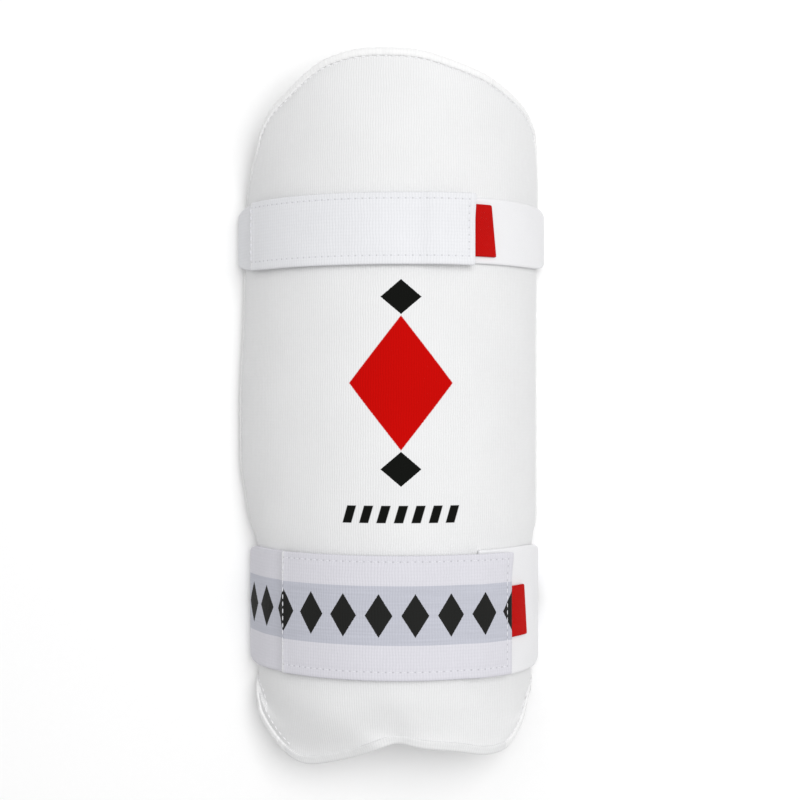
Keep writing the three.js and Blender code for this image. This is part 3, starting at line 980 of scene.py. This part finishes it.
def shaded(graph, base, height, fibres, *, depth, amount):
    """A colour with painted shade in its hollows, varied by its fibres."""
    # Painted shade: the lower the height, the darker the colour, by up to depth; the fibres add real tone.
    painted_hollow_shade = graph.math("MULTIPLY", graph.math("SUBTRACT", 1.0, height), depth)
    spread = graph.math("MULTIPLY", graph.math("SUBTRACT", fibres.outputs["Broad"], 0.5), amount)
    fine = graph.math("MULTIPLY", graph.math("SUBTRACT", fibres.outputs["Fine"], 0.5), amount)
    light = graph.math("ADD", graph.math("SUBTRACT", 1.0, painted_hollow_shade), graph.math("ADD", spread, fine))
    parts = graph.add("CombineXYZ", X=light, Y=light, Z=light)
    node = graph.add("Mix", {"data_type": "RGBA", "blend_type": "MULTIPLY"})
    for index, value in ((0, 1.0), (6, base), (7, parts.outputs[0])):
        graph.plug(node.inputs[index], value)
    return node.outputs[2]


def in_band(graph, value, middle, half, sharpness=4000.0):
    """A mask of what lies within half of the middle."""
    off = graph.math("ABSOLUTE", graph.math("SUBTRACT", value, middle))
    steep = graph.math("MULTIPLY", graph.math("SUBTRACT", half, off), sharpness)
    return graph.add("Clamp", Value=steep).outputs[0]


def print_masks(graph, across, along, motif, groups, ragged):
    """The masks of the printed red and black shapes."""
    red = graph.group(
        groups["lozenge"],
        X=across,
        Y=graph.math("SUBTRACT", along, motif.middle_y),
        Half_Width=motif.large_half,
        Half_Height=motif.large_rise,
        Ragged=ragged,
    ).outputs["Mask"]
    reach = motif.large_rise + motif.gap + motif.small_rise
    off_middle = graph.math("ABSOLUTE", graph.math("SUBTRACT", along, motif.middle_y))
    small = graph.group(
        groups["lozenge"],
        X=across,
        Y=graph.math("SUBTRACT", off_middle, reach),
        Half_Width=motif.small_half,
        Half_Height=motif.small_rise,
        Ragged=graph.math("MULTIPLY", ragged, 3.0),
    ).outputs["Mask"]
    rise = graph.math("SUBTRACT", along, motif.dash_y)
    leaning = graph.math("SUBTRACT", across, graph.math("MULTIPLY", rise, motif.dash_slant))
    wrapped = graph.math("WRAP", leaning, motif.dash_pitch / 2, -motif.dash_pitch / 2)
    wide = in_band(graph, wrapped, 0.0, motif.dash_half)
    high = in_band(graph, rise, 0.0, motif.dash_rise)
    row = in_band(graph, leaning, 0.0, motif.dash_pitch * motif.dash_count / 2)
    dashes = graph.math("MULTIPLY", graph.math("MULTIPLY", wide, high), row)
    return red, graph.math("MAXIMUM", small, dashes)


def cover_material(cover, motif, groups):
    """The ribbed knit of the cover, with its plain printed shapes."""
    material, graph, shader = new_material("ribbed_knit")
    place, across, along = graph.cloth_place()
    weave = graph.group(groups["weave"], Vector=place, Rib=cover.rib, Yarn=cover.rib * 1.3, Yarn_Share=0.1)
    height = weave.outputs["Height"]
    fibres = graph.group(groups["fibres"], Vector=place, Fine=2200.0, Broad=45.0)
    ragged = graph.math("MULTIPLY", graph.math("SUBTRACT", fibres.outputs["Fine"], 0.5), 0.03)
    red, black = print_masks(graph, across, along, motif, groups, ragged)
    tone = graph.mix(red, tuple(cover.white), tuple(motif.red))
    tone = graph.mix(black, tone, tuple(motif.black))
    tone = shaded(graph, tone, height, fibres, depth=0.075, amount=0.06)
    unprinted = graph.math("SUBTRACT", 1.0, graph.math("MAXIMUM", red, black))
    sheen = graph.math("MULTIPLY", unprinted, 0.12)
    gloss = graph.math("ADD", 0.05, graph.math("MULTIPLY", unprinted, 0.25))
    dress(graph, shader, tone, height, roughness=0.88, sheen=sheen, gloss=gloss, bump=0.42, distance=0.0002)
    return material


def lining_material(cover, groups):
    """The brushed lining inside the shell."""
    material, graph, shader = new_material("brushed_lining")
    place, _, _ = graph.cloth_place()
    fibres = graph.group(groups["fibres"], Vector=place, Fine=900.0, Broad=70.0)
    loops = graph.add("TexVoronoi", Vector=place, Scale=900.0)
    brushed = graph.math("MULTIPLY", loops.outputs["Distance"], 0.5)
    height = graph.math("ADD", fibres.outputs["Fine"], brushed)
    tone = shaded(graph, tuple(cover.lining), height, fibres, depth=0.12, amount=0.08)
    dress(graph, shader, tone, height, roughness=0.95, sheen=0.25, bump=0.6, distance=0.0004)
    return material


def band_material(rim, groups):
    """The stretched fabric of the rolled band."""
    material, graph, shader = new_material("rolled_band")
    place, _, _ = graph.cloth_place()
    weave = graph.group(groups["weave"], Vector=place, Rib=0.0011, Yarn=0.0009, Yarn_Share=0.5)
    fibres = graph.group(groups["fibres"], Vector=place, Fine=2600.0, Broad=80.0)
    height = weave.outputs["Height"]
    tone = shaded(graph, tuple(rim.white), height, fibres, depth=0.06, amount=0.05)
    dress(graph, shader, tone, height, roughness=0.85, sheen=0.12, bump=0.4, distance=0.0002)
    return material


def hole_mask(graph, value, start, end, pitch):
    """A mask of small spots, one at each end of every stitch from start to end."""
    each = (end - start) / round((end - start) / pitch)
    off = graph.math("WRAP", graph.math("SUBTRACT", value, start), each / 2, -each / 2)
    within = in_band(graph, value, (start + end) / 2, (end - start) / 2 + 0.0003)
    return graph.math("MULTIPLY", in_band(graph, off, 0.0, HOLE_HALF), within)


def needle_holes(graph, along, across, lines, pitch):
    """A mask of the needle holes of the box that is stitched on a strap."""
    upper, lower, near, far = lines
    rows = graph.math("MAXIMUM", *(in_band(graph, across, line, HOLE_HALF) for line in (upper, lower)))
    end = in_band(graph, along, near, HOLE_HALF)
    in_rows = graph.math("MULTIPLY", rows, hole_mask(graph, along, near, far, pitch))
    in_end = graph.math("MULTIPLY", end, hole_mask(graph, across, lower, upper, pitch))
    return graph.math("MAXIMUM", in_rows, in_end)


def webbing_material(name, settings, groups, pile_from, lines, has_band):
    """Ribbed elastic webbing, whose sewn end is a strip of soft pile."""
    material, graph, shader = new_material(name)
    strap, motif = settings.strap, settings.motif
    place, along, across = graph.cloth_place()
    weave = graph.group(groups["weave"], Vector=place, Rib=strap.rib, Yarn=strap.yarn, Yarn_Share=0.27)
    fibres = graph.group(groups["fibres"], Vector=place, Fine=2600.0, Broad=50.0)
    pile = in_band(graph, along, 1.0 + pile_from, 1.0)
    plain = graph.math("SUBTRACT", 1.0, pile)
    height = graph.math(
        "ADD",
        graph.math("MULTIPLY", weave.outputs["Height"], plain),
        graph.math("MULTIPLY", fibres.outputs["Fine"], pile),
    )
    tone = graph.mix(pile, tuple(strap.wide_white if has_band else strap.white), tuple(strap.pile_white))
    # Painted highlight: a strip over the ridge at the far end of the hook strip is mixed towards the
    # thread's white.
    ridge = lines[3] + strap.ridge_from
    painted_ridge_highlight = in_band(graph, along, ridge, strap.ridge_half * 0.8, sharpness=1500.0)
    tone = graph.mix(graph.math("MULTIPLY", painted_ridge_highlight, 0.7), tone, tuple(settings.thread.white))
    sheen = 0.1
    if has_band:
        off_middle = graph.math("SUBTRACT", across, strap.band_rise)
        band = graph.math("MULTIPLY", in_band(graph, off_middle, 0.0, strap.band_half), plain)
        streaked = graph.add("Mapping", Vector=place)
        streaked.inputs["Scale"].default_value = (40, 1500, 1)
        streaks = graph.add("TexNoise", Vector=streaked.outputs[0], Scale=1.0, Detail=2.0).outputs[0]
        lighter = tuple(min(1, part * 1.12) for part in strap.band)
        darker = tuple(part * 0.9 for part in strap.band)
        tone = graph.mix(band, tone, graph.mix(streaks, darker, lighter))
        motif_at = graph.math("WRAP", along, motif.woven_pitch / 2, -motif.woven_pitch / 2)
        lozenge = graph.group(
            groups["lozenge"],
            X=motif_at,
            Y=off_middle,
            Half_Width=motif.woven_half,
            Half_Height=motif.woven_rise,
            Ragged=graph.math("MULTIPLY", graph.math("SUBTRACT", fibres.outputs["Fine"], 0.5), 0.12),
        ).outputs["Mask"]
        tone = graph.mix(graph.math("MULTIPLY", lozenge, plain), tone, tuple(motif.black))
        sheen = graph.math("MULTIPLY", graph.math("SUBTRACT", 1.0, lozenge), 0.1)
    tone = shaded(graph, tone, height, fibres, depth=0.085, amount=0.06)
    # Painted shade in the needle holes: each one is darkened towards a grey.
    holes = needle_holes(graph, along, across, lines, settings.thread.pitch)
    tone = graph.mix(graph.math("MULTIPLY", holes, strap.hole_shade_share), tone, tuple(strap.hole))
    dress(graph, shader, tone, height, roughness=0.82, sheen=sheen, bump=0.5, distance=0.0002)
    return material


def ribbon_material(strap, groups):
    """The red herringbone ribbon of the pull tabs."""
    material, graph, shader = new_material("herringbone_ribbon")
    place, along, across = graph.cloth_place()
    folded = graph.math("ABSOLUTE", graph.math("WRAP", across, strap.herringbone, -strap.herringbone))
    slope = graph.math("DIVIDE", graph.math("ADD", along, folded), strap.twill)
    height = graph.math("ABSOLUTE", graph.math("SINE", graph.math("MULTIPLY", slope, math.pi)))
    fibres = graph.group(groups["fibres"], Vector=place, Fine=2600.0, Broad=90.0)
    tone = shaded(graph, tuple(strap.red), height, fibres, depth=0.35, amount=0.12)
    dress(graph, shader, tone, height, roughness=0.8, sheen=0.0, gloss=0.08, bump=0.7, distance=0.00025)
    return material


def hook_material(strap, groups):
    """The dense small hooks of the fastening strip."""
    material, graph, shader = new_material("hook_tape")
    place, _, _ = graph.cloth_place()
    fibres = graph.group(groups["fibres"], Vector=place, Fine=1800.0, Broad=90.0)
    weave = graph.group(groups["weave"], Vector=place, Rib=0.0014, Yarn=0.0014, Yarn_Share=0.5)
    height = weave.outputs["Height"]
    tone = shaded(graph, tuple(strap.white), height, fibres, depth=0.2, amount=0.06)
    dress(graph, shader, tone, height, roughness=0.55, sheen=0.0, bump=0.8, distance=0.0005)
    return material


def thread_material(name, white, groups):
    """Twisted sewing thread."""
    material, graph, shader = new_material(name)
    place = graph.add("TexCoord").outputs["Object"]
    twist = graph.add("TexWave", {"bands_direction": "DIAGONAL"}, Vector=place, Scale=900.0)
    fibres = graph.group(groups["fibres"], Vector=place, Fine=3000.0, Broad=200.0)
    height = twist.outputs[1]
    tone = shaded(graph, tuple(white), height, fibres, depth=0.12, amount=0.06)
    dress(graph, shader, tone, height, roughness=0.6, sheen=0.1, bump=0.4, distance=0.00008)
    return material


def floor_material(stage, groups):
    """The plain pale floor."""
    material, graph, shader = new_material("pale_floor")
    place = graph.add("TexCoord").outputs["Object"]
    fibres = graph.group(groups["fibres"], Vector=place, Fine=400.0, Broad=3.0)
    height = fibres.outputs["Fine"]
    tone = shaded(graph, tuple(stage.floor), height, fibres, depth=0.01, amount=0.01)
    dress(graph, shader, tone, height, roughness=0.9, sheen=0.0, bump=0.05, distance=0.0001)
    return material


def shader_groups():
    """The node groups that several materials use, made once."""
    made = {"weave": "Rib Weave", "fibres": "Fibres", "lozenge": "Lozenge"}
    builders = {"weave": rib_weave_group, "fibres": fibre_group, "lozenge": lozenge_group}
    return {key: bpy.data.node_groups.get(name) or builders[key]() for key, name in made.items()}


# Operators


class ARMGUARD_OT_cover(bpy.types.Operator):
    """Builds the padded shell with its cover and lining"""

    bl_idname = "arm_guard.cover"
    bl_label = "Shell cover"
    bl_options = {"REGISTER", "UNDO"}

    def execute(self, context):
        """The cover, whose inner faces are the lining."""
        settings = context.scene.arm_guard
        shell = Shell()
        piece = sew_cover(shell, settings.cover)
        groups = shader_groups()
        piece.data.materials.append(cover_material(settings.cover, settings.motif, groups))
        piece.data.materials.append(lining_material(settings.cover, groups))
        centres = np.array([face.center for face in piece.data.polygons])
        away, _, _ = shell.from_axis(centres)
        for face, out in zip(piece.data.polygons, away):
            face.material_index = int(Vector(out).dot(face.normal) < LINING_FACES)
        finish_piece(piece, "cover", "pad_shell")
        return {"FINISHED"}


class ARMGUARD_OT_rim(bpy.types.Operator):
    """Builds the rolled band round the rim"""

    bl_idname = "arm_guard.rim"
    bl_label = "Rim band"
    bl_options = {"REGISTER", "UNDO"}

    def execute(self, context):
        """The rolled band."""
        settings = context.scene.arm_guard
        piece = roll_band(Shell(), settings.cover, settings.rim, settings.thread)
        groups = shader_groups()
        piece.data.materials.append(band_material(settings.rim, groups))
        piece.data.materials.append(cover_material(settings.cover, settings.motif, groups))
        finish_piece(piece, "binding", "edge_binding")
        return {"FINISHED"}


class ARMGUARD_OT_straps(bpy.types.Operator):
    """Builds the two elastic straps and the stitches on them"""

    bl_idname = "arm_guard.straps"
    bl_label = "Straps"
    bl_options = {"REGISTER", "UNDO"}

    def execute(self, context):
        """Both straps and their stitched boxes."""
        settings = context.scene.arm_guard
        strap, groups = settings.strap, shader_groups()
        thread = thread_material("strap_thread", settings.thread.strap_white, groups)
        for name in STRAPS:
            run = Run(f"{name}_strap")
            run.narrow_at_turns(strap)
            patch = Run(f"{name}_hook_patch")
            patch_end = run.nearest(patch.place(patch.length, 0.0))
            lines = hem(run, patch_end, strap)
            raised = strap_relief(run, lines, strap)
            piece = weave_ribbon(f"{name}_webbing", run, strap.cell, raised)
            right_turn = run.at[run.line[:, 0].argmax()]
            has_band = name == "lower"
            piece.data.materials.append(
                webbing_material(f"{name}_webbing", settings, groups, right_turn, lines, has_band)
            )
            finish_piece(piece, "elastic", f"{name}_strap")
            stitches = stitch_box(f"{name}_stitches", run, lines, settings.thread, raised)
            stitches.data.materials.append(thread)
            finish_piece(stitches, "elastic")
        return {"FINISHED"}


class ARMGUARD_OT_hook_strips(bpy.types.Operator):
    """Builds the hook strips under the free ends"""

    bl_idname = "arm_guard.hook_strips"
    bl_label = "Hook strips"
    bl_options = {"REGISTER", "UNDO"}

    def execute(self, context):
        """Both hook strips."""
        settings = context.scene.arm_guard
        material = hook_material(settings.strap, shader_groups())
        for name in STRAPS:
            run = Run(f"{name}_hook_patch")
            piece = weave_ribbon(f"{name}_hook_strip", run, settings.strap.hook_cell)
            piece.data.materials.append(material)
            finish_piece(piece, "hook", f"{name}_hook_patch")
        return {"FINISHED"}


class ARMGUARD_OT_pull_tabs(bpy.types.Operator):
    """Builds the red pull tabs"""

    bl_idname = "arm_guard.pull_tabs"
    bl_label = "Pull tabs"
    bl_options = {"REGISTER", "UNDO"}

    def execute(self, context):
        """Both tabs."""
        settings = context.scene.arm_guard
        strap = settings.strap
        material = ribbon_material(strap, shader_groups())
        for name in STRAPS:
            slant = math.tan(strap.tab_tilt)
            piece = weave_ribbon(f"{name}_red_tab", Run(f"{name}_pull_tab"), strap.tab_cell, slant=slant)
            piece.data.materials.append(material)
            finish_piece(piece, "ribbon", f"{name}_pull_tab")
        return {"FINISHED"}


class ARMGUARD_OT_rim_stitches(bpy.types.Operator):
    """Builds the stitches round the rim"""

    bl_idname = "arm_guard.rim_stitches"
    bl_label = "Rim stitches"
    bl_options = {"REGISTER", "UNDO"}

    def execute(self, context):
        """The rim's stitches, which lie on the band and the cover."""
        settings = context.scene.arm_guard
        band, cover = bpy.data.objects["rim_band"], bpy.data.objects["shell_cover"]
        piece = stitch_rim(Shell(), settings.thread, band, cover)
        thread = thread_material("rim_thread", settings.thread.white, shader_groups())
        piece.data.materials.append(thread)
        finish_piece(piece, "binding")
        return {"FINISHED"}


class ARMGUARD_OT_stage(bpy.types.Operator):
    """Builds the floor, the lights and the camera"""

    bl_idname = "arm_guard.stage"
    bl_label = "Stage"
    bl_options = {"REGISTER", "UNDO"}

    def execute(self, context):
        """The camera first, then the floor and the lights."""
        settings = context.scene.arm_guard
        stage, scene = settings.stage, bpy.context.scene
        bpy.ops.object.select_all(action="DESELECT")
        bpy.ops.object.camera_add(
            location=(stage.camera_x, stage.camera_y, stage.camera_z), rotation=(0, 0, 0)
        )
        camera = bpy.context.object
        camera.data.sensor_width = SENSOR_WIDTH
        camera.data.lens = SENSOR_WIDTH / 2 / math.tan(math.radians(PHOTO_VIEW_DEGREES / 2))
        scene.camera = camera
        bpy.ops.mesh.primitive_plane_add(size=stage.floor_size)
        floor = bpy.context.object
        floor.name = "floor"
        floor.data.materials.append(floor_material(stage, shader_groups()))
        add_light("key_light", place=(0.31, 0.22, 1.26), size=0.8, power=stage.key)
        add_light("fill_light", place=(-0.6, 0.6, 1.1), size=1.2, power=stage.fill)
        world = bpy.data.worlds.new("studio")
        world.use_nodes = True
        world.node_tree.nodes["Background"].inputs["Color"].default_value = (1, 1, 1, 1)
        world.node_tree.nodes["Background"].inputs["Strength"].default_value = stage.sky
        scene.world = world
        scene.view_settings.view_transform = "Standard"
        return {"FINISHED"}


def add_light(name, place, size, power):
    """A large soft square light that points at the guard."""
    aim = Vector(GUARD_MIDDLE) - Vector(place)
    bpy.ops.object.light_add(
        type="AREA", location=place, rotation=aim.to_track_quat("-Z", "Y").to_euler()
    )
    light = bpy.context.object
    light.name = name
    light.data.size = size
    light.data.energy = power
    return light


OPERATORS = (
    ARMGUARD_OT_stage,
    ARMGUARD_OT_cover,
    ARMGUARD_OT_rim,
    ARMGUARD_OT_rim_stitches,
    ARMGUARD_OT_straps,
    ARMGUARD_OT_hook_strips,
    ARMGUARD_OT_pull_tabs,
)


class ARMGUARD_PT_pieces(bpy.types.Panel):
    """Lists the operators in the sidebar."""

    bl_label = "Arm Guard"
    bl_idname = "ARMGUARD_PT_pieces"
    bl_space_type = "VIEW_3D"
    bl_region_type = "UI"
    bl_category = "Arm Guard"

    def draw(self, context):
        """One button for each operator, and the settings under them."""
        for operator in OPERATORS:
            self.layout.operator(operator.bl_idname)
        settings = context.scene.arm_guard
        for part in ("cover", "rim", "strap", "motif", "thread", "stage"):
            group = getattr(settings, part)
            box = self.layout.box()
            for name in group.__annotations__:
                box.prop(group, name)


CLASSES = (
    CoverSettings,
    RimSettings,
    StrapSettings,
    MotifSettings,
    ThreadSettings,
    StageSettings,
    ArmGuardSettings,
    *OPERATORS,
    ARMGUARD_PT_pieces,
)


def register():
    """Registers the classes and hangs the settings on the scene."""
    for item in CLASSES:
        bpy.utils.register_class(item)
    bpy.types.Scene.arm_guard = PointerProperty(type=ArmGuardSettings)


def unregister():
    """Takes the settings and the classes away again."""
    del bpy.types.Scene.arm_guard
    for item in reversed(CLASSES):
        bpy.utils.unregister_class(item)


def main():
    """Builds everything in order."""
    register()
    bpy.ops.arm_guard.stage()
    bpy.ops.arm_guard.cover()
    bpy.ops.arm_guard.rim()
    bpy.ops.arm_guard.rim_stitches()
    bpy.ops.arm_guard.straps()
    bpy.ops.arm_guard.hook_strips()
    bpy.ops.arm_guard.pull_tabs()


if __name__ == "__main__":
    main()
